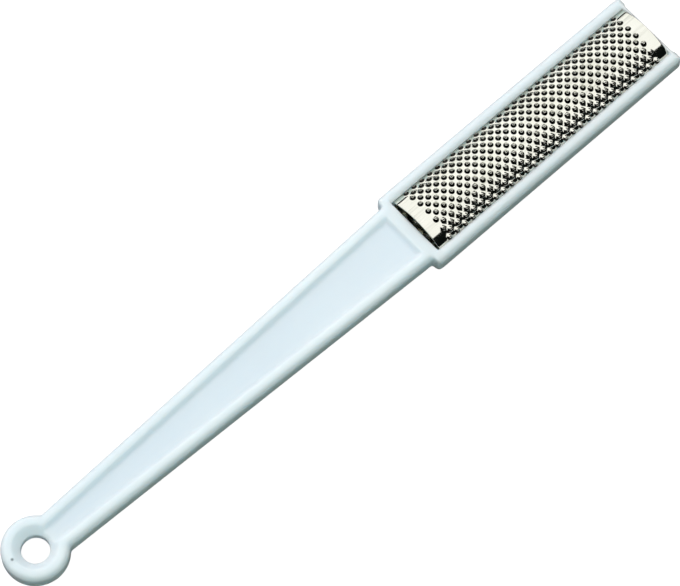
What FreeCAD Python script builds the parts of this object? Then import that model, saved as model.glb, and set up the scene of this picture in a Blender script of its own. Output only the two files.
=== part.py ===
import FreeCAD, Part
import math
import os

V = FreeCAD.Vector

# Two-sided foot file, in millimetres
# The hanging hole is at the origin, the head lies towards +X and the fine sheet faces +Z

# Whole tool
overall_length = 180.0
frame_thickness = 5.2
side_rounding = 1.5

# Hanging ring
ring_radius = 7.1
hanging_hole_radius = 3.0
hole_land_length = 2.0
hole_mouth_radius = 4.85

# Handle
handle_width_at_ring = 8.7
handle_width_at_head = 15.9

# Sunk panel, the same in both faces of the handle
panel_depth = 0.9
panel_rim_width = 2.15
panel_wall_run = 0.9
panel_end_rim = 0.9

# Head, a frame of two lipped rails, a bridge at the shoulder and a thin wall between the rails' noses
head_length = 70.5
head_width = 19.7
rail_width = 2.65
rail_lip_drop = 0.5
rail_lip_run = 0.8
bridge_length = 1.8
tip_wall_thickness = 0.7
rail_nose_length = 0.6
rail_nose_radius = 0.9
shoulder_corner_radius = 0.9

# Rasp sheets, arched and sprung into grooves of the rails
sheet_thickness = 0.4
sheet_crown_height = 4.2
sheet_edge_height = 0.8
sheet_edge_in_rail = 0.8
sheet_gap_at_bridge = 0.7
sheet_gap_at_tip = 0.1
sheet_plain_end = 3.0
groove_clearance = 0.06

# Fine teeth, punched outwards from inside the sheet
fine_pitch = 2.23
fine_row_spacing = 1.17
fine_tooth_base = 1.0
fine_tooth_rim = 0.48
fine_tooth_height = 0.5

# Coarse teeth, on the far side
coarse_pitch = 3.6
coarse_row_spacing = 1.9
coarse_tooth_base = 1.5
coarse_tooth_rim = 0.8
coarse_tooth_height = 0.7

# Both tooth fields
tooth_clearance_to_rail = 0.01
punch_mouth_share = 1.6
tooth_blank_share = 1.2

# Rounded sides meet the flat faces at a slight crease
crease_degrees = 10.0
full_round_share = 0.46

# How far a cutting shape runs past what it cuts
overrun = 0.2

# Stations and heights that follow from the sizes above
half_thickness = frame_thickness / 2
crease = math.radians(crease_degrees)
side_radius = min(side_rounding, frame_thickness * full_round_share)
tip_x = overall_length - ring_radius
shoulder_x = tip_x - head_length
window_start_x = shoulder_x + bridge_length
tip_wall_x = tip_x - rail_nose_length
window_length = tip_wall_x - tip_wall_thickness - window_start_x
window_half_width = head_width / 2 - rail_width
panel_end_x = shoulder_x - panel_end_rim
panel_floor_z = half_thickness - panel_depth
sheet_start_x = window_start_x + sheet_gap_at_bridge
sheet_length = window_length - sheet_gap_at_bridge - sheet_gap_at_tip
sheet_edge_y = window_half_width + sheet_edge_in_rail
sheet_rise = sheet_crown_height - sheet_edge_height
sheet_arch_radius = (sheet_edge_y ** 2 + sheet_rise ** 2) / (2 * sheet_rise)
arch_axis_z = sheet_crown_height - sheet_arch_radius


def line(start, end):
    return Part.LineSegment(start, end).toShape()


def arc(start, middle, end):
    return Part.Arc(start, middle, end).toShape()


def polygon_face(corners):
    return Part.Face(Part.makePolygon(corners + corners[:1]))


def taper(low, high):
    """Solid with flat sides between two outlines that have as many corners."""
    sides = [polygon_face([low[i - 1], low[i], high[i], high[i - 1]]) for i in range(len(low))]
    return Part.Solid(Part.Shell([polygon_face(low), polygon_face(high)] + sides))


def on_the_back(shape):
    """The same shape on the far face of the tool."""
    return shape.mirror(V(0, 0, 0), V(0, 0, 1))


def side_round(half_width):
    """Rounded side above the mid plane, as three points (across, up) from the flat to the side."""
    top_turn = math.pi / 2 - crease
    centre = half_width - side_radius
    wall_top = half_thickness - side_radius * math.sin(top_turn)
    turns = (top_turn, top_turn / 2, 0)
    return [(centre + side_radius * math.cos(a), wall_top + side_radius * math.sin(a)) for a in turns]


def cross_section(x, half_width):
    """Outline across the tool at one station, with its sides rounded."""
    upper_left = [V(x, across, up) for across, up in side_round(half_width)]
    lower_left = [V(x, p.y, -p.z) for p in reversed(upper_left)]
    lower_right = [V(x, -p.y, -p.z) for p in upper_left]
    upper_right = [V(x, -p.y, p.z) for p in reversed(upper_left)]
    rounds = [upper_left, lower_left, lower_right, upper_right]
    edges = []
    for points, following in zip(rounds, rounds[1:] + rounds[:1]):
        edges.append(arc(*points))
        edges.append(line(points[-1], following[0]))
    return Part.Wire(edges)


def rounded_bar(length, half_width):
    """Bar along X, centred on the mid plane, with its sides rounded."""
    return Part.Face(cross_section(0, half_width)).extrude(V(length, 0, 0))


def handle_half_width(x):
    """The handle widens steadily from the ring to the shoulder."""
    gain = (handle_width_at_head - handle_width_at_ring) / 2
    return handle_width_at_ring / 2 + gain * x / shoulder_x


def ring_disc():
    """Half of the cross section, turned about the hanging hole's axis."""
    upper = [V(across, 0, up) for across, up in side_round(ring_radius)]
    lower = [V(p.x, 0, -p.z) for p in reversed(upper)]
    top_centre = V(hanging_hole_radius / 2, 0, half_thickness)
    low_centre = V(hanging_hole_radius / 2, 0, -half_thickness)
    edges = [
        line(top_centre, upper[0]),
        arc(*upper),
        line(upper[-1], lower[0]),
        arc(*lower),
        line(lower[-1], low_centre),
        line(low_centre, top_centre)]
    return Part.Face(Part.Wire(edges)).revolve(V(0, 0, 0), V(0, 0, 1), 360)


def handle_bar():
    """Where two rounded slabs cross: each gives one side of the handle, and they spread towards the head."""
    spread = math.atan2(handle_half_width(shoulder_x) - handle_half_width(0), shoulder_x)
    slab = rounded_bar(overall_length, head_width)
    slab.translate(V(-head_width, handle_half_width(0) - head_width, 0))
    slab.rotate(V(0, handle_half_width(0), 0), V(0, 0, 1), math.degrees(spread))
    other_slab = slab.mirror(V(0, 0, 0), V(0, 1, 0))
    height = 2 * frame_thickness
    between = Part.makeBox(shoulder_x, 2 * head_width, height, V(0, -head_width, -height / 2))
    return slab.common(other_slab).common(between)


def upright_edges(block, x):
    """Edges of a box that stand along Z at one station."""
    upright = [e for e in block.Edges if e.BoundBox.ZLength > frame_thickness]
    return [e for e in upright if abs(e.CenterOfMass.x - x) < overrun]


def head_plan():
    """Head seen from above: a block up to the tip wall, and two rails that run past it as rounded noses."""
    half = head_width / 2
    height = 2 * frame_thickness
    block = Part.makeBox(tip_wall_x - shoulder_x, head_width, height, V(shoulder_x, -half, -height / 2))
    block = block.makeFillet(shoulder_corner_radius, upright_edges(block, shoulder_x))
    rails = []
    for low_y in (-half, half - rail_width):
        rail = Part.makeBox(window_length, rail_width, height, V(tip_x - window_length, low_y, -height / 2))
        rails.append(rail.makeFillet(rail_nose_radius, upright_edges(rail, tip_x)))
    return block.fuse(rails).removeSplitter()


def head_block():
    """Where a bar with rounded sides, the same bar turned to round the tip, and the plan cross."""
    along = rounded_bar(head_length, head_width / 2)
    along.translate(V(shoulder_x, 0, 0))
    tip_round = rounded_bar(head_width, head_length)
    tip_round.rotate(V(0, 0, 0), V(0, 0, 1), 90)
    tip_round.translate(V(tip_x - head_length, -head_width / 2, 0))
    return along.common(tip_round).common(head_plan())


def hole_mouth():
    """Sloping mouth of the hanging hole in the front face, down to the straight land in the middle."""
    land_top = hole_land_length / 2
    slope = (hole_mouth_radius - hanging_hole_radius) / (half_thickness - land_top)
    widest = hole_mouth_radius + slope * overrun
    return Part.makeCone(hanging_hole_radius, widest, half_thickness + overrun - land_top, V(0, 0, land_top))


def sunk_panel():
    """Tapered hollow along the front face of the handle, with sloping walls, open to the hole's mouth."""
    height = panel_depth + overrun
    widening = panel_wall_run * height / panel_depth
    side_inset = panel_rim_width + panel_wall_run

    def outline(outwards, z):
        end_x = panel_end_x - panel_wall_run + outwards
        start_y = handle_half_width(0) - side_inset + outwards
        end_y = handle_half_width(end_x) - side_inset + outwards
        return [V(0, -start_y, z), V(end_x, -end_y, z), V(end_x, end_y, z), V(0, start_y, z)]

    return taper(outline(0, panel_floor_z), outline(widening, panel_floor_z + height))


def window_mouth():
    """Hollow in the front face that gives the rails their lips, which slope down to the sheet."""
    height = rail_lip_drop + overrun
    widening = rail_lip_run * height / rail_lip_drop
    lip_z = half_thickness - rail_lip_drop
    end_x = window_start_x + window_length

    def outline(outwards, z):
        y = window_half_width + outwards
        return [V(window_start_x, -y, z), V(end_x, -y, z), V(end_x, y, z), V(window_start_x, y, z)]

    return taper(outline(0, lip_z), outline(widening, lip_z + height))


def on_arch(x, radius, angle):
    return V(x, radius * math.sin(angle), arch_axis_z + radius * math.cos(angle))


def sheet_groove():
    """Room for a sheet's edges in the rails: the sheet's own arch, wider by the clearance."""
    outer_radius = sheet_arch_radius + groove_clearance
    inner_radius = sheet_arch_radius - sheet_thickness - groove_clearance
    reach = math.asin((sheet_edge_y + groove_clearance) / outer_radius)
    outer = [on_arch(window_start_x, outer_radius, angle) for angle in (-reach, 0, reach)]
    inner = [on_arch(window_start_x, inner_radius, angle) for angle in (reach, 0, -reach)]
    edges = [arc(*outer), line(outer[-1], inner[0]), arc(*inner), line(inner[-1], outer[0])]
    return Part.Face(Part.Wire(edges)).extrude(V(window_length, 0, 0))


def plain_sheet(row_spacing):
    """Arched sheet before punching, drawn as narrow flats with one to a row of teeth."""
    reach = math.asin(sheet_edge_y / sheet_arch_radius)
    step = row_spacing / sheet_arch_radius
    folds_each_side = math.floor(reach / step + 1 / 2)
    folds = [(fold + 1 / 2) * step for fold in range(-folds_each_side, folds_each_side)]
    angles = [-reach] + folds + [reach]
    outer = [on_arch(sheet_start_x, sheet_arch_radius, angle) for angle in angles]
    inner = [on_arch(sheet_start_x, sheet_arch_radius - sheet_thickness, angle) for angle in angles]
    return polygon_face(outer + inner[::-1]).extrude(V(sheet_length, 0, 0))


def handle_frame():
    """White moulding: ring, handle, bridge, grooved rails and tip wall in one piece."""
    height = frame_thickness + 2 * overrun
    hole = Part.makeCylinder(hanging_hole_radius, height, V(0, 0, -height / 2))
    window = Part.makeBox(
        window_length, 2 * window_half_width, height, V(window_start_x, -window_half_width, -height / 2))
    hollows = [sunk_panel().fuse(hole_mouth()), window_mouth(), sheet_groove()]
    hollows += [on_the_back(hollow) for hollow in hollows]
    body = ring_disc().fuse([handle_bar(), head_block()])
    return body.cut([hole, window] + hollows).removeSplitter()


def square(half, z):
    """Corners of a square about the crown line at X = 0."""
    return [V(-half, -half, z), V(half, -half, z), V(half, half, z), V(-half, half, z)]


def punched_tooth(base, rim, height):
    """A tooth's outside, and the punch that opens it from inside and leaves a sharp rim."""
    def outside(up):
        return base / 2 - (base - rim) / 2 * up / height

    def punch(up):
        return rim / 2 + rim / 2 * (punch_mouth_share - 1) * (height - up) / (height + sheet_thickness)

    root = -sheet_thickness / 2
    blank = height * tooth_blank_share
    mouth = -sheet_thickness - overrun
    top = blank + overrun
    crown = sheet_crown_height
    return (
        taper(square(outside(root), crown + root), square(outside(blank), crown + blank)),
        taper(square(punch(mouth), crown + mouth), square(punch(top), crown + top)))


def widest_row_angle(base, rim, height):
    """Largest angle from the crown at which a tooth still clears the rails."""
    room = window_half_width - tooth_clearance_to_rail
    at_base = (sheet_arch_radius, base / 2)
    at_rim = (sheet_arch_radius + height, rim / 2)
    corners = (at_base, at_rim)
    return min(math.asin(room / math.hypot(*corner)) - math.atan2(*corner[::-1]) for corner in corners)


def tooth_places(pitch, row_spacing, widest_angle):
    """Placement of every tooth: rows staggered by half a pitch, centred on the sheet."""
    rows_each_side = math.floor(widest_angle * sheet_arch_radius / row_spacing)
    gaps = math.floor((sheet_length - 2 * sheet_plain_end) / pitch)
    first_x = sheet_start_x + (sheet_length - gaps * pitch) / 2
    arch_axis = V(0, 0, arch_axis_z)
    places = []
    for row in range(-rows_each_side, rows_each_side + 1):
        turn = FreeCAD.Rotation(V(1, 0, 0), math.degrees(row * row_spacing / sheet_arch_radius))
        stagger = row % 2
        for step in range(gaps + 1 - stagger):
            x = first_x + (step + stagger / 2) * pitch
            places.append(FreeCAD.Placement(V(x, 0, 0), turn, arch_axis))
    return places


def placed(shape, place):
    copy = shape.copy()
    copy.Placement = place
    return copy


def rasp_sheet(pitch, row_spacing, base, rim, height):
    """Arched sheet that faces +Z, with its field of punched teeth."""
    tooth, punch = punched_tooth(base, rim, height)
    places = tooth_places(pitch, row_spacing, widest_row_angle(base, rim, height))
    toothed = plain_sheet(row_spacing).fuse([placed(tooth, place) for place in places])
    return toothed.cut([placed(punch, place) for place in places])


fine_teeth = (fine_pitch, fine_row_spacing, fine_tooth_base, fine_tooth_rim, fine_tooth_height)
coarse_teeth = (coarse_pitch, coarse_row_spacing, coarse_tooth_base, coarse_tooth_rim, coarse_tooth_height)

nodes = {
    "handle_frame": handle_frame(),
    "fine_rasp_sheet": rasp_sheet(*fine_teeth),
    "coarse_rasp_sheet": on_the_back(rasp_sheet(*coarse_teeth)),
}

os.makedirs("parts", exist_ok=True)
for name, shape in nodes.items():
    shape.exportStep(f"parts/{name}.step")
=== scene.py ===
import math
import random

import bmesh
import bpy
from mathutils import Matrix, Vector


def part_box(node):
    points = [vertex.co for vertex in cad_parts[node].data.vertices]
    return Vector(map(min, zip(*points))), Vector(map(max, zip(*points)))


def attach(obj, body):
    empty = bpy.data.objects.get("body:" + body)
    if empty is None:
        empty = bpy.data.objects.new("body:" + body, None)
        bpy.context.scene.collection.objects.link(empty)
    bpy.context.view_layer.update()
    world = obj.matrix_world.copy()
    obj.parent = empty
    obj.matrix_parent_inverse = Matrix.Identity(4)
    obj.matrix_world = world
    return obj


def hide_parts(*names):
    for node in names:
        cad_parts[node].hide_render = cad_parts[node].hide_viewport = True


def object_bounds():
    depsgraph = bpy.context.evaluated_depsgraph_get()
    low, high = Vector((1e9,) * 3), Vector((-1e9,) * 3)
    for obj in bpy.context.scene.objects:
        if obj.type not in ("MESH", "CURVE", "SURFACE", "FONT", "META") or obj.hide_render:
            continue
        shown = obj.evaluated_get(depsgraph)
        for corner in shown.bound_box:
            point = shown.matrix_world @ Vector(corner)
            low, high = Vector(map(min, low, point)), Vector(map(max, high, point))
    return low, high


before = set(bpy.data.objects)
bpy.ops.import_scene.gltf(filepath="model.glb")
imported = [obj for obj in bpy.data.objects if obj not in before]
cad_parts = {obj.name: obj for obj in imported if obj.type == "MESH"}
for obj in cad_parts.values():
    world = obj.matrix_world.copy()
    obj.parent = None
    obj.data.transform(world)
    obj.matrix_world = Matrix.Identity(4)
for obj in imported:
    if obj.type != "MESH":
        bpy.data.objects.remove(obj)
cad_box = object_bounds()

# Sizes are in millimetres and angles in degrees; MM turns millimetres into Blender's metres
MM = 0.001

# Moulding: fineness of its skin, softness of its edges and of the corners where handle and head meet
SKIN_VOXEL = 0.2
SKIN_SMOOTHING_ROUNDS = 11
SKIN_KEPT_SHARE = 0.4
SHOULDER_X = 102.4
SHOULDER_CORNER_Y = 8.4
SHOULDER_BLEND_RADIUS = 2.4
SHOULDER_SMOOTHING_ROUNDS = 30

# Gate mark on the hanging ring
GATE_MARK_PLACE = (-5.15, 1.0, 2.6)
GATE_MARK_RADIUS = 0.45
GATE_HALO_RADIUS = 0.9

# Floor of the sunk panels, where the plastic is thin and its colour is painted darker: the thin plastic's own
# tone together with painted shade of the sunk panel. Half-width at the hole's centre, its growth along the
# handle, the run of the walls around it, the strip inside them where the painted darker colour fades into the
# look of thick plastic, and where the floor starts and ends
PANEL_HALF_WIDTH = 1.3
PANEL_GROWTH = 0.03516
PANEL_WALL_RUN = 0.9
PANEL_STRIP = 1.3
PANEL_START_X = (3.0, 9.0)
PANEL_END_X = 101.5

# White plastic: colours in the dark and light of its clouds, gate mark, height of its unevenness, gloss,
# and how light scatters in it
CLOUD_SCALE = 45.0
CLOUD_STRETCH = (0.4, 1, 1)
CLOUD_TONES = (0.25, 0.75)
THICK_COLOURS = ((0.705, 0.78, 0.835), (0.765, 0.83, 0.875))
# Panel floor colours: darker than the thick plastic's, painted shade of the sunk panel as well as the thin
# plastic's own tone
THIN_SHADED_COLOURS = ((0.67, 0.755, 0.83), (0.73, 0.805, 0.87))
GATE_COLOUR = (0.12, 0.16, 0.17, 1.0)
GATE_COVER = 0.85
GATE_CORE_SHARE = 0.3
GATE_LIP_HEIGHT = 0.1
FLOW_SCALE = 160.0
FLOW_STRETCH = (0.3, 1, 1)
FLOW_HEIGHT = 0.02
GRAIN_SCALE = 1500.0
GRAIN_HEIGHT = 0.004
PLASTIC_ROUGHNESS = (0.24, 0.38)
SCATTER_SHARE = 0.85
SCATTER_BY_COLOUR = (1.0, 1.15, 1.2)
SCATTER_DEPTH = 2.0

# Rasp sheets
SHEET_THICKNESS = 0.4
SHEET_CROWN_HEIGHT = 4.2
SHEET_EDGE_HEIGHT = 0.8
SHEET_END_COLUMNS = 12
SHEET_SIDE_COLUMNS = 2
EDGE_ROLL_RUN = 0.25
EDGE_ROLL_DROP = 0.08

# Teeth: pitch along a row, spacing of the rows, rows on each side of the crown row, teeth in the crown row,
# mesh segments on one side of a tooth's lozenge, and the burst tooth's own sizes
FINE = {"pitch": 2.23, "row_spacing": 1.17, "side_rows": 6, "teeth": 28, "segments": 5,
        "foot": 0.76, "rim": 0.19, "hole": 0.09, "mouth": 0.42, "height": 0.5}
COARSE = {"pitch": 3.6, "row_spacing": 1.9, "side_rows": 3, "teeth": 17, "segments": 6,
          "foot": 1.1, "rim": 0.38, "hole": 0.2, "mouth": 0.7, "height": 0.7}
# From foot to rim: share of the flank's width left, share of the height reached, share of the raggedness
TOOTH_FLANK = [(1.0, 0.0, 0.0), (0.8, 0.1, 0.0), (0.6, 0.32, 0.1),
               (0.4, 0.6, 0.3), (0.2, 0.85, 0.6), (0.07, 0.96, 1.0)]
# Inside the rim: shares of the height at the inner lip and in the hole, the hole's raggedness and widening
TOOTH_LIP_RISE = 0.97
TOOTH_HOLE_RISE = 0.75
TOOTH_HOLE_RAGGEDNESS = 0.5
TOOTH_HOLE_WIDENING = 1.2
# Tears round the rim: waves in one turn, and the range of their sizes
TEAR_WAVES = (2, 3, 5)
TEAR_SIZES = (0.4, 1.0)
TOOTH_RAGGEDNESS = 0.2
TOOTH_HEIGHT_SPREAD = 0.08
TOOTH_PLACE_SPREAD = 0.025
TOOTH_SEED = 7
SHARP_EDGE_ANGLE = 70.0

# Steel: where and how far rolling streaks dull it, colours in the dark and light of its smudges, gloss
STREAK_SCALE = 1100.0
STREAK_STRETCH = (0.05, 1, 1)
STREAK_TONES = (0.5, 0.8)
STREAK_COVER = 0.6
STREAK_HEIGHT = 0.003
SMUDGE_SCALE = 140.0
SMUDGE_TONES = (0.3, 0.7)
BRIGHT_COLOURS = ((0.80, 0.80, 0.71), (0.88, 0.88, 0.80))
DULL_COLOURS = ((0.5, 0.5, 0.42), (0.58, 0.58, 0.5))
# Near-black colours of the teeth's flanks: painted shade and dark reflection, over the torn steel's own
# dullness
TORN_SHADE_COLOURS = ((0.01, 0.01, 0.008), (0.028, 0.028, 0.023))
STEEL_ROUGHNESS = (0.04, 0.11)
# Torn flanks, painted near black as painted shade and dark reflection: shares of a tooth's height over which
# they begin, and cosines to the sheet's own facing over which they end; the way that the flanks left bright
# lean, toward the key light and the wear, and how far
TORN_SHADE_START = (0.06, 0.2)
TORN_SHADE_COSINES = (0.86, 0.96)
LIT_AND_WORN_DIRECTION = (0.6, 0.8, 0.0)
LIT_AND_WORN_LEAN = (0.12, 0.3)

# Camera: the photograph's own, found from the tooth lattice and the outline
IMAGE_WIDTH = 680
SENSOR_WIDTH = 36.0
FOCAL_LENGTH_PIXELS = 3836.3
CAMERA_TARGET = (83.31, 0.05, 0.0)
CAMERA_AZIMUTH = -133.233
CAMERA_ELEVATION = 67.786
CAMERA_DISTANCE = 795.8
CAMERA_ROLL = 0.806
CAMERA_CLIP = (10.0, 100000.0)

# Stage and lights
FLOOR_SIZE = 4000.0
FLOOR_SQUARES = 8
BACKDROP_RADIUS = 6000.0
BACKDROP_SEGMENTS = 32
BACKDROP_RINGS = 16
BACKDROP_GLOW = 1.0
STAGE_SCALE = 6.0
STAGE_COLOURS = ((0.24, 0.24, 0.24), (0.26, 0.26, 0.26))
FLOOR_TOUCH_HEAD_X = 108.0
FLOOR_TOUCH_RING_X = -6.5
RING_UNDERSIDE = -2.6
FLOOR_GLOW = 0.93
LIGHT_DISTANCE = 640.0
KEY_SIZE = (2300.0, 2000.0)
KEY_SHIFT = 430.0
KEY_LEAN = 22.0
KEY_RADIANCE = 1.1
OVERHEAD_SIZE = (2300.0, 2000.0)
OVERHEAD_SHIFT = 430.0
OVERHEAD_LEAN = 9.0
OVERHEAD_RADIANCE = 1.05
SIDE_SIZE = (2400.0, 800.0)
SIDE_SHIFT = -800.0
SIDE_LEAN = 76.0
SIDE_RADIANCE = 1.35
FILL_SIZE = (700.0, 700.0)
FILL_SHIFT = -260.0
FILL_LEAN = -52.0
FILL_RADIANCE = 0.95
FILL_COLOUR = (0.72, 1.0, 0.84)
ROOM_COLOUR = (0.7, 1.0, 0.9)
ROOM_STRENGTH = 0.005


def linked(name, data):
    """A new object with this data, in the scene."""
    piece = bpy.data.objects.new(name, data)
    bpy.context.scene.collection.objects.link(piece)
    return piece


def finished_mesh(bm, name, material):
    """Turns millimetre geometry into a smooth-shaded mesh in metres."""
    bmesh.ops.scale(bm, vec=Vector((MM, MM, MM)), verts=bm.verts)
    mesh = bpy.data.meshes.new(name)
    bm.to_mesh(mesh)
    bm.free()
    mesh.polygons.foreach_set("use_smooth", [True] * len(mesh.polygons))
    mesh.materials.append(material)
    return mesh


class Nodes:
    """Short way to write a material's node tree."""

    def __init__(self, name):
        self.material = bpy.data.materials.new(name)
        self.material.use_nodes = True
        self.tree = self.material.node_tree
        self.shader = self.tree.nodes["Principled BSDF"]

    def feed(self, node, inputs):
        for key, value in inputs.items():
            if isinstance(value, bpy.types.NodeSocket):
                self.tree.links.new(value, node.inputs[key])
            else:
                node.inputs[key].default_value = value

    def add(self, kind, inputs, output):
        node = self.tree.nodes.new(kind)
        self.feed(node, inputs)
        return node.outputs[output]

    def place(self, stretch=(1, 1, 1)):
        """The piece's own coordinates in metres, times stretch."""
        own = self.add("ShaderNodeTexCoord", {}, "Object")
        return self.add("ShaderNodeMapping", {"Vector": own, "Scale": stretch}, "Vector")

    def place_parts(self):
        """The piece's own coordinates in metres, one by one."""
        parts = self.tree.nodes.new("ShaderNodeSeparateXYZ")
        self.feed(parts, {"Vector": self.place()})
        return parts.outputs["X"], parts.outputs["Y"], parts.outputs["Z"]

    def noise(self, scale, detail=3.0, stretch=(1, 1, 1)):
        inputs = {"Vector": self.place(stretch), "Scale": scale, "Detail": detail}
        return self.add("ShaderNodeTexNoise", inputs, "Fac")

    def ramp(self, value, tones, colours):
        """Colour ramp from one colour to another, at these two tones of the value."""
        node = self.tree.nodes.new("ShaderNodeValToRGB")
        self.feed(node, {"Fac": value})
        for element, tone, colour in zip(node.color_ramp.elements, tones, colours):
            element.position = tone
            element.color = (*colour, 1.0)
        return node.outputs["Color"]

    def span(self, value, low, high, start=0.0, end=1.0):
        """Value's range from start to end, mapped onto low to high."""
        inputs = {"Value": value, "From Min": start, "From Max": end, "To Min": low, "To Max": high}
        return self.add("ShaderNodeMapRange", inputs, "Result")

    def mixed(self, share, one, two):
        node = self.tree.nodes.new("ShaderNodeMix")
        node.data_type = "RGBA"
        for socket, value in ((node.inputs[0], share), (node.inputs[6], one), (node.inputs[7], two)):
            if isinstance(value, bpy.types.NodeSocket):
                self.tree.links.new(value, socket)
            else:
                socket.default_value = value
        return node.outputs[2]

    def math(self, operation, one, two=0.0):
        node = self.tree.nodes.new("ShaderNodeMath")
        node.operation = operation
        self.feed(node, {0: one, 1: two})
        return node.outputs["Value"]

    def vector_math(self, operation, one, two=(0.0, 0.0, 0.0), output="Vector"):
        node = self.tree.nodes.new("ShaderNodeVectorMath")
        node.operation = operation
        self.feed(node, {0: one, 1: two})
        return node.outputs[output]

    def from_arch_axis(self, radius):
        """Vector in metres from the axis of a sheet's arch, on either face, to the shaded point."""
        _, across, height = self.place_parts()
        axis_z = self.math("MULTIPLY", self.math("SIGN", height), (SHEET_CROWN_HEIGHT - radius) * MM)
        up = self.math("SUBTRACT", height, axis_z)
        return self.add("ShaderNodeCombineXYZ", {"Y": across, "Z": up}, "Vector")

    def in_shaded_thin_panel(self):
        """1 on the floor of the handle's sunk panels, falling to 0 across the walls around it: where the
        darker colour, painted shade of the recess along with the thin plastic's tone, goes.
        """
        along, across, _ = self.place_parts()
        edge = self.math("ADD", self.math("MULTIPLY", along, PANEL_GROWTH), PANEL_HALF_WIDTH * MM)
        past_edge = self.math("SUBTRACT", self.math("ABSOLUTE", across), edge)
        between_walls = self.span(past_edge, 1.0, 0.0, -PANEL_STRIP * MM, PANEL_WALL_RUN * MM)
        past_start = self.span(along, 0.0, 1.0, *[x * MM for x in PANEL_START_X])
        before_end = self.span(along, 1.0, 0.0, (PANEL_END_X - PANEL_WALL_RUN) * MM, PANEL_END_X * MM)
        return self.math("MULTIPLY", between_walls, self.math("MULTIPLY", past_start, before_end))

    def bump(self, height, distance, normal=None):
        """Unevenness that is so many millimetres high."""
        inputs = {"Height": height, "Distance": distance * MM}
        if normal is not None:
            inputs["Normal"] = normal
        return self.add("ShaderNodeBump", inputs, "Normal")

    def shade(self, inputs):
        self.feed(self.shader, inputs)
        return self.material


def white_plastic():
    """Cool white moulded plastic: slight gloss, faint flow clouds, fine grain and a gate mark on the ring."""
    nodes = Nodes("white_plastic")
    clouds = nodes.noise(CLOUD_SCALE, detail=4.0, stretch=CLOUD_STRETCH)
    thick = nodes.ramp(clouds, CLOUD_TONES, THICK_COLOURS)
    thin = nodes.ramp(clouds, CLOUD_TONES, THIN_SHADED_COLOURS)
    # The sunk panel's floor takes the darker colours: painted shade of the recess, together with the thin
    # plastic's own tone
    body = nodes.mixed(nodes.in_shaded_thin_panel(), thick, thin)
    from_gate = nodes.vector_math("DISTANCE", nodes.place(), [c * MM for c in GATE_MARK_PLACE], "Value")
    radius = GATE_MARK_RADIUS * MM
    in_gate = nodes.span(from_gate, GATE_COVER, 0.0, GATE_CORE_SHARE * radius, radius)
    gate_lip = nodes.span(from_gate, 1.0, 0.0, radius, GATE_HALO_RADIUS * MM)
    flow = nodes.noise(FLOW_SCALE, stretch=FLOW_STRETCH)
    grain = nodes.noise(GRAIN_SCALE, detail=2.0)
    grained = nodes.bump(grain, GRAIN_HEIGHT, nodes.bump(flow, FLOW_HEIGHT))
    return nodes.shade({
        "Base Color": nodes.mixed(in_gate, body, GATE_COLOUR),
        "Roughness": nodes.span(flow, *PLASTIC_ROUGHNESS),
        "Normal": nodes.bump(gate_lip, GATE_LIP_HEIGHT, grained),
        "Subsurface Weight": SCATTER_SHARE,
        "Subsurface Radius": SCATTER_BY_COLOUR,
        "Subsurface Scale": SCATTER_DEPTH * MM})


def rasp_steel(name, tooth_height, arch_radius):
    """Rolled stainless sheet: warm bright metal with faint rolling streaks and smudges.

    The teeth's torn flanks are painted near black, a painted shade and dark reflection over the torn steel's
    own dullness, apart from the side that leans toward the key light and the wear, which stays bright for
    glints.
    """
    nodes = Nodes(name)
    streaks = nodes.noise(STREAK_SCALE, detail=4.0, stretch=STREAK_STRETCH)
    smudges = nodes.noise(SMUDGE_SCALE)
    # torn: the near-black colour of the flanks, painted shade and dark reflection
    bright, dull, torn = (nodes.ramp(smudges, SMUDGE_TONES, colours)
                          for colours in (BRIGHT_COLOURS, DULL_COLOURS, TORN_SHADE_COLOURS))
    rolled = nodes.mixed(nodes.span(streaks, 0.0, STREAK_COVER, *STREAK_TONES), bright, dull)
    from_axis = nodes.from_arch_axis(arch_radius)
    height = nodes.math("SUBTRACT", nodes.vector_math("LENGTH", from_axis, output="Value"), arch_radius * MM)
    off_sheet = nodes.span(height, 0.0, 1.0, *[share * tooth_height * MM for share in TORN_SHADE_START])
    facing = nodes.add("ShaderNodeTexCoord", {}, "Normal")
    square_out = nodes.vector_math("NORMALIZE", from_axis)
    cosine = nodes.vector_math("DOT_PRODUCT", facing, square_out, "Value")
    steep = nodes.span(cosine, 1.0, 0.0, *TORN_SHADE_COSINES)
    # Flanks that lean toward the key light and the wear are spared the painted shade, so they stay bright and
    # catch glints
    leaning = nodes.vector_math("SUBTRACT", facing, square_out)
    toward_lit_and_worn = nodes.vector_math("DOT_PRODUCT", leaning, LIT_AND_WORN_DIRECTION, "Value")
    unlit_and_unworn = nodes.span(toward_lit_and_worn, 1.0, 0.0, *LIT_AND_WORN_LEAN)
    flank = nodes.math("MULTIPLY", nodes.math("MULTIPLY", off_sheet, steep), unlit_and_unworn)
    return nodes.shade({
        "Base Color": nodes.mixed(flank, rolled, torn),
        "Roughness": nodes.span(streaks, *STEEL_ROUGHNESS),
        "Normal": nodes.bump(streaks, STREAK_HEIGHT),
        "Metallic": 1.0})


def pale_surface(name, glow):
    """Plain pale studio surface with the faintest unevenness."""
    nodes = Nodes(name)
    tone = nodes.noise(STAGE_SCALE, detail=2.0)
    return nodes.shade({
        "Base Color": nodes.ramp(tone, (0.0, 1.0), STAGE_COLOURS),
        "Roughness": 1.0,
        "Emission Color": (1.0, 1.0, 1.0, 1.0),
        "Emission Strength": glow})


def in_scene(piece, node):
    """A piece that stands for a CAD node and rides with the tool."""
    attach(piece, "root")
    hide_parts(node)


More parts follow.
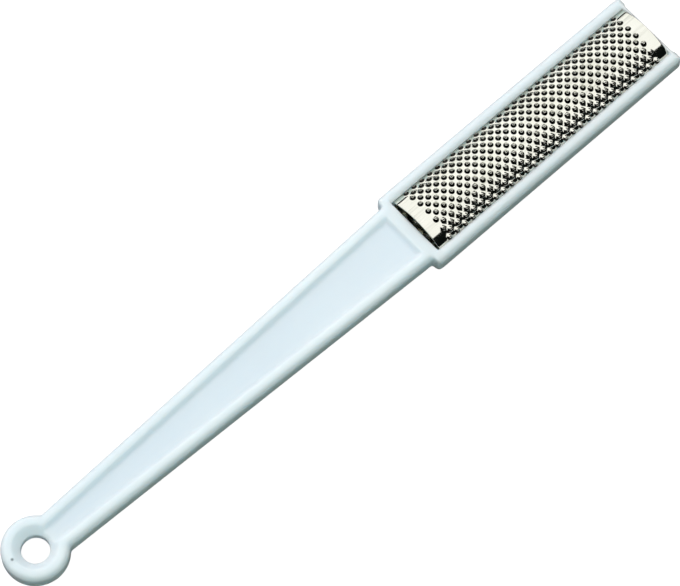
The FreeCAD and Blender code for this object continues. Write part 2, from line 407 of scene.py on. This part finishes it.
def moulding(material):
    """The one-piece plastic moulding, with the softly rounded edges and corners that a moulding has."""
    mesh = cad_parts["handle_frame"].data.copy()
    mesh.transform(Matrix.Scale(1 / MM, 4))
    piece = linked("moulding", mesh)
    skin = piece.modifiers.new("skin", "REMESH")
    skin.mode = "VOXEL"
    skin.voxel_size = SKIN_VOXEL
    soften = piece.modifiers.new("soften", "SMOOTH")
    soften.iterations = SKIN_SMOOTHING_ROUNDS
    evaluated = piece.evaluated_get(bpy.context.evaluated_depsgraph_get())
    piece.data = bpy.data.meshes.new_from_object(evaluated)
    piece.modifiers.clear()
    corners = [Vector((SHOULDER_X, side * SHOULDER_CORNER_Y)) for side in (-1, 1)]
    group = piece.vertex_groups.new(name="shoulders")
    for vertex in piece.data.vertices:
        nearest = min((vertex.co.xy - corner).length for corner in corners)
        if nearest < SHOULDER_BLEND_RADIUS:
            group.add([vertex.index], 1 - (nearest / SHOULDER_BLEND_RADIUS) ** 2, "REPLACE")
    blend = piece.modifiers.new("blend", "SMOOTH")
    blend.vertex_group = "shoulders"
    blend.iterations = SHOULDER_SMOOTHING_ROUNDS
    thin = piece.modifiers.new("thin", "DECIMATE")
    thin.ratio = SKIN_KEPT_SHARE
    evaluated = piece.evaluated_get(bpy.context.evaluated_depsgraph_get())
    bm = bmesh.new()
    bm.from_mesh(evaluated.to_mesh())
    piece.modifiers.clear()
    piece.vertex_groups.clear()
    piece.data = finished_mesh(bm, "moulding", material)
    in_scene(piece, "handle_frame")


def steps(start, end, count, ease=1.0):
    """Count values after start, the last of them at end; ease over 1 crowds them at start."""
    return [start + (end - start) * ((k + 1) / count) ** ease for k in range(count)]


class RaspSheet:
    """Arched sheet with staggered burst teeth, drawn on a grid in which each tooth fills one lozenge."""

    def __init__(self, teeth, node, face):
        self.teeth = teeth
        self.face = face
        self.low, self.high = (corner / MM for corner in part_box(node))
        rise = SHEET_CROWN_HEIGHT - SHEET_EDGE_HEIGHT
        self.radius = (self.high.y ** 2 + rise ** 2) / (2 * rise)
        self.reach = teeth["segments"]
        self.bm = bmesh.new()
        self.corners = {}
        self.draw = random.Random(TOOTH_SEED)
        self.lay_grid()
        self.lay_teeth()

    def lay_grid(self):
        """Grid lines along and across the sheet: plain ends and sides, and a field of whole lozenges."""
        pitch, count, reach = self.teeth["pitch"], self.teeth["teeth"], self.reach
        rows = self.teeth["side_rows"] + 1
        field_start = (self.low.x + self.high.x - count * pitch) / 2
        field_end = field_start + count * pitch
        field_side = rows * self.teeth["row_spacing"]
        side = self.radius * math.asin(self.high.y / self.radius)
        end_run = [self.low.x] + steps(self.low.x, field_start, SHEET_END_COLUMNS, ease=2.0)
        field_run = steps(field_start, field_end, 2 * reach * count)
        far_run = [self.low.x + self.high.x - x for x in reversed(end_run[:-1])]
        self.along = end_run + field_run + far_run
        self.across = [-side] + steps(-side, -field_side, SHEET_SIDE_COLUMNS)
        self.across += steps(-field_side, field_side, 2 * reach * rows)
        self.across += steps(field_side, side, SHEET_SIDE_COLUMNS)
        self.crown_i = SHEET_END_COLUMNS + reach
        self.crown_j = SHEET_SIDE_COLUMNS + reach * rows

    def lay_teeth(self):
        """Grid places of the teeth: every second row has one less, half a pitch further on."""
        side_rows = self.teeth["side_rows"]
        self.sites = set()
        for row in range(-side_rows, side_rows + 1):
            stagger = row % 2
            for number in range(self.teeth["teeth"] - stagger):
                i = self.crown_i + self.reach * (2 * number + stagger)
                self.sites.add((i, self.crown_j + self.reach * row))

    def point(self, x, arc, height):
        """A vertex over the arch: so far along, so far round from the crown, so high above the outer face."""
        angle = arc / self.radius
        out = self.radius + height
        y = out * math.sin(angle)
        z = SHEET_CROWN_HEIGHT - self.radius + out * math.cos(angle)
        return self.bm.verts.new((x, self.face * y, self.face * z))

    def corner(self, i, j, outer):
        """A vertex of the grid on the outer or inner face. The outer face rolls over at the sheared ends."""
        key = (i, j, outer)
        if key not in self.corners:
            x = self.along[i]
            to_end = min(x - self.low.x, self.high.x - x)
            roll = EDGE_ROLL_DROP * max(0.0, 1 - to_end / EDGE_ROLL_RUN) ** 2
            self.corners[key] = self.point(x, self.across[j], -roll if outer else -SHEET_THICKNESS)
        return self.corners[key]

    def in_tooth(self, i, j):
        """Whether a place on the grid is inside a tooth's lozenge."""
        row = math.floor((j - self.crown_j) / self.reach)
        for near_row in (row, row + 1):
            stagger = near_row % 2
            number = round(((i - self.crown_i) / self.reach - stagger) / 2)
            site = (self.crown_i + self.reach * (2 * number + stagger), self.crown_j + self.reach * near_row)
            if site in self.sites and abs(i - site[0]) + abs(j - site[1]) < self.reach:
                return True
        return False

    def plain_face(self, places):
        """The outer and inner face over these places of the grid, unless a tooth takes them up."""
        middle = [sum(values) / len(places) for values in zip(*places)]
        if not self.in_tooth(*middle):
            self.bm.faces.new([self.corner(i, j, True) for i, j in places])
            self.bm.faces.new([self.corner(i, j, False) for i, j in reversed(places)])

    def add_plain_faces(self):
        """Both faces of the sheet between the teeth. Squares that a lozenge's side crosses are halved."""
        period = 2 * self.reach
        for i in range(len(self.along) - 1):
            for j in range(len(self.across) - 1):
                a, b, c, d = (i, j), (i + 1, j), (i + 1, j + 1), (i, j + 1)
                from_crown_i, from_crown_j = i - self.crown_i, j - self.crown_j
                if (from_crown_i - from_crown_j) % period == self.reach:
                    halves = [[a, b, c], [a, c, d]]
                elif (from_crown_i + from_crown_j + 1) % period == self.reach:
                    halves = [[a, b, d], [b, c, d]]
                else:
                    halves = [[a, b, c, d]]
                for places in halves:
                    self.plain_face(places)

    def lozenge(self, site, outer):
        """Grid vertices round a tooth's lozenge."""
        r = self.reach
        way = [(r - k, k) for k in range(r)] + [(-k, r - k) for k in range(r)]
        way += [(-di, -dj) for di, dj in way]
        return [self.corner(site[0] + di, site[1] + dj, outer) for di, dj in way]

    def add_tooth(self, site):
        """One burst tooth: round flank, torn rim, and the punch's hollow behind it."""
        teeth, draw = self.teeth, self.draw
        x = self.along[site[0]] + draw.uniform(-1, 1) * TOOTH_PLACE_SPREAD
        arc = self.across[site[1]] + draw.uniform(-1, 1) * TOOTH_PLACE_SPREAD
        tall = teeth["height"] * (1 - draw.random() * TOOTH_HEIGHT_SPREAD)
        tears = [(waves, draw.random() * math.tau, draw.uniform(*TEAR_SIZES)) for waves in TEAR_WAVES]
        flank = teeth["foot"] - teeth["rim"]
        inner_lip = (teeth["rim"] + teeth["hole"]) / 2
        rings = [(teeth["rim"] + flank * out, tall * up, ragged) for out, up, ragged in TOOTH_FLANK]
        rings += [(teeth["rim"], tall, 1.0), (inner_lip, tall * TOOTH_LIP_RISE, 1.0)]
        rings += [(teeth["hole"], tall * TOOTH_HOLE_RISE, TOOTH_HOLE_RAGGEDNESS)]
        rings += [(teeth["hole"] * TOOTH_HOLE_WIDENING, 0.0, 0.0), (teeth["mouth"], -SHEET_THICKNESS, 0.0)]
        count = 4 * self.reach
        loops = [self.lozenge(site, True)]
        for radius, height, ragged in rings:
            loop = []
            for k in range(count):
                turn = math.tau * k / count
                tear = sum(size * math.cos(waves * turn + phase) for waves, phase, size in tears) / len(tears)
                lift = height * (1 - TOOTH_RAGGEDNESS * ragged * max(0.0, tear))
                loop.append(self.point(x + radius * math.cos(turn), arc + radius * math.sin(turn), lift))
            loops.append(loop)
        loops.append(self.lozenge(site, False))
        for outside, inside in zip(loops, loops[1:]):
            for k in range(count):
                n = (k + 1) % count
                self.bm.faces.new((outside[k], outside[n], inside[n], inside[k]))

    def add_cut_edges(self):
        """The sheet's cut edges, all the way round."""
        last_i, last_j = len(self.along) - 1, len(self.across) - 1
        way = [(i, 0) for i in range(last_i)] + [(last_i, j) for j in range(last_j)]
        way += [(last_i - i, last_j - j) for i, j in way]
        for one, two in zip(way, way[1:] + way[:1]):
            outer = [self.corner(*two, True), self.corner(*one, True)]
            self.bm.faces.new(outer + [self.corner(*one, False), self.corner(*two, False)])

    def mesh(self, name, material):
        self.add_plain_faces()
        for site in sorted(self.sites):
            self.add_tooth(site)
        self.add_cut_edges()
        bmesh.ops.recalc_face_normals(self.bm, faces=self.bm.faces)
        mesh = finished_mesh(self.bm, name, material)
        mesh.set_sharp_from_angle(angle=math.radians(SHARP_EDGE_ANGLE))
        return mesh


def rasp_sheet(name, teeth, node, face):
    """A steel rasp sheet on the +Z face (1) or the -Z face (-1) of the tool."""
    sheet = RaspSheet(teeth, node, face)
    steel = rasp_steel(name + "_steel", teeth["height"], sheet.radius)
    in_scene(linked(name, sheet.mesh(name, steel)), node)


def camera_only(piece):
    """A stage surface that shows, but throws no light or reflection onto the tool."""
    piece.visible_diffuse = False
    piece.visible_glossy = False
    piece.visible_transmission = False


def stage():
    """Pale floor, tilted to touch ring and coarse teeth as the tool lies on it, and a pale backdrop."""
    lowest = cad_box[0][2] / MM
    bm = bmesh.new()
    bmesh.ops.create_grid(bm, x_segments=FLOOR_SQUARES, y_segments=FLOOR_SQUARES, size=FLOOR_SIZE / 2)
    floor = linked("floor", finished_mesh(bm, "floor", pale_surface("pale_floor", FLOOR_GLOW)))
    floor.location = (FLOOR_TOUCH_HEAD_X * MM, 0, lowest * MM)
    floor.rotation_euler.y = math.atan2(RING_UNDERSIDE - lowest, FLOOR_TOUCH_HEAD_X - FLOOR_TOUCH_RING_X)
    camera_only(floor)
    bm = bmesh.new()
    bmesh.ops.create_uvsphere(
        bm, u_segments=BACKDROP_SEGMENTS, v_segments=BACKDROP_RINGS, radius=BACKDROP_RADIUS)
    backdrop = linked("backdrop", finished_mesh(bm, "backdrop", pale_surface("pale_backdrop", BACKDROP_GLOW)))
    backdrop.visible_shadow = False
    camera_only(backdrop)


def softbox(name, size, shift, lean, radiance, colour=(1.0, 1.0, 1.0)):
    """Soft light of a size along and across the tool, leaning from straight above to the tool's left.

    It faces the middle of the tool, and shift then moves it along the tool.
    """
    direction = Vector((0, math.sin(math.radians(lean)), math.cos(math.radians(lean))))
    light = bpy.data.lights.new(name, "AREA")
    light.shape = "RECTANGLE"
    light.size, light.size_y = (side * MM for side in size)
    light.energy = radiance * math.pi * light.size * light.size_y
    light.color = colour
    holder = linked(name, light)
    holder.location = (Vector(CAMERA_TARGET) + Vector((shift, 0, 0)) + direction * LIGHT_DISTANCE) * MM
    holder.rotation_euler = direction.to_track_quat("Z", "Y").to_euler()
    return holder


def lights():
    """A large key light that only shows mirrored in the tool, soft lights that don't, and a dim room.

    The soft lights are overhead, low on the left, and greenish on the right.
    """
    key = softbox("key", KEY_SIZE, KEY_SHIFT, KEY_LEAN, KEY_RADIANCE)
    key.visible_diffuse = False
    overhead = softbox("overhead", OVERHEAD_SIZE, OVERHEAD_SHIFT, OVERHEAD_LEAN, OVERHEAD_RADIANCE)
    side = softbox("side", SIDE_SIZE, SIDE_SHIFT, SIDE_LEAN, SIDE_RADIANCE)
    fill = softbox("fill", FILL_SIZE, FILL_SHIFT, FILL_LEAN, FILL_RADIANCE, FILL_COLOUR)
    for soft in (overhead, side, fill):
        soft.visible_glossy = False
    world = bpy.data.worlds.new("room")
    world.use_nodes = True
    background = world.node_tree.nodes["Background"]
    background.inputs["Color"].default_value = (*ROOM_COLOUR, 1.0)
    background.inputs["Strength"].default_value = ROOM_STRENGTH
    bpy.context.scene.world = world


def camera():
    """The photograph's camera, aimed at the middle of the tool."""
    data = bpy.data.cameras.new("camera")
    data.sensor_fit = "HORIZONTAL"
    data.sensor_width = SENSOR_WIDTH
    data.lens = SENSOR_WIDTH * FOCAL_LENGTH_PIXELS / IMAGE_WIDTH
    data.clip_start, data.clip_end = (distance * MM for distance in CAMERA_CLIP)
    azimuth, elevation = math.radians(CAMERA_AZIMUTH), math.radians(CAMERA_ELEVATION)
    level = math.cos(elevation)
    back = Vector((level * math.cos(azimuth), level * math.sin(azimuth), math.sin(elevation)))
    turn = back.to_track_quat("Z", "Y").to_matrix() @ Matrix.Rotation(math.radians(CAMERA_ROLL), 3, "Z")
    holder = linked("camera", data)
    holder.matrix_world = turn.to_4x4()
    holder.location = (Vector(CAMERA_TARGET) + back * CAMERA_DISTANCE) * MM
    bpy.context.scene.camera = holder


moulding(white_plastic())
rasp_sheet("fine_teeth_sheet", FINE, "fine_rasp_sheet", 1)
rasp_sheet("coarse_teeth_sheet", COARSE, "coarse_rasp_sheet", -1)
stage()
lights()
camera()
bpy.context.scene.view_settings.view_transform = "Standard"
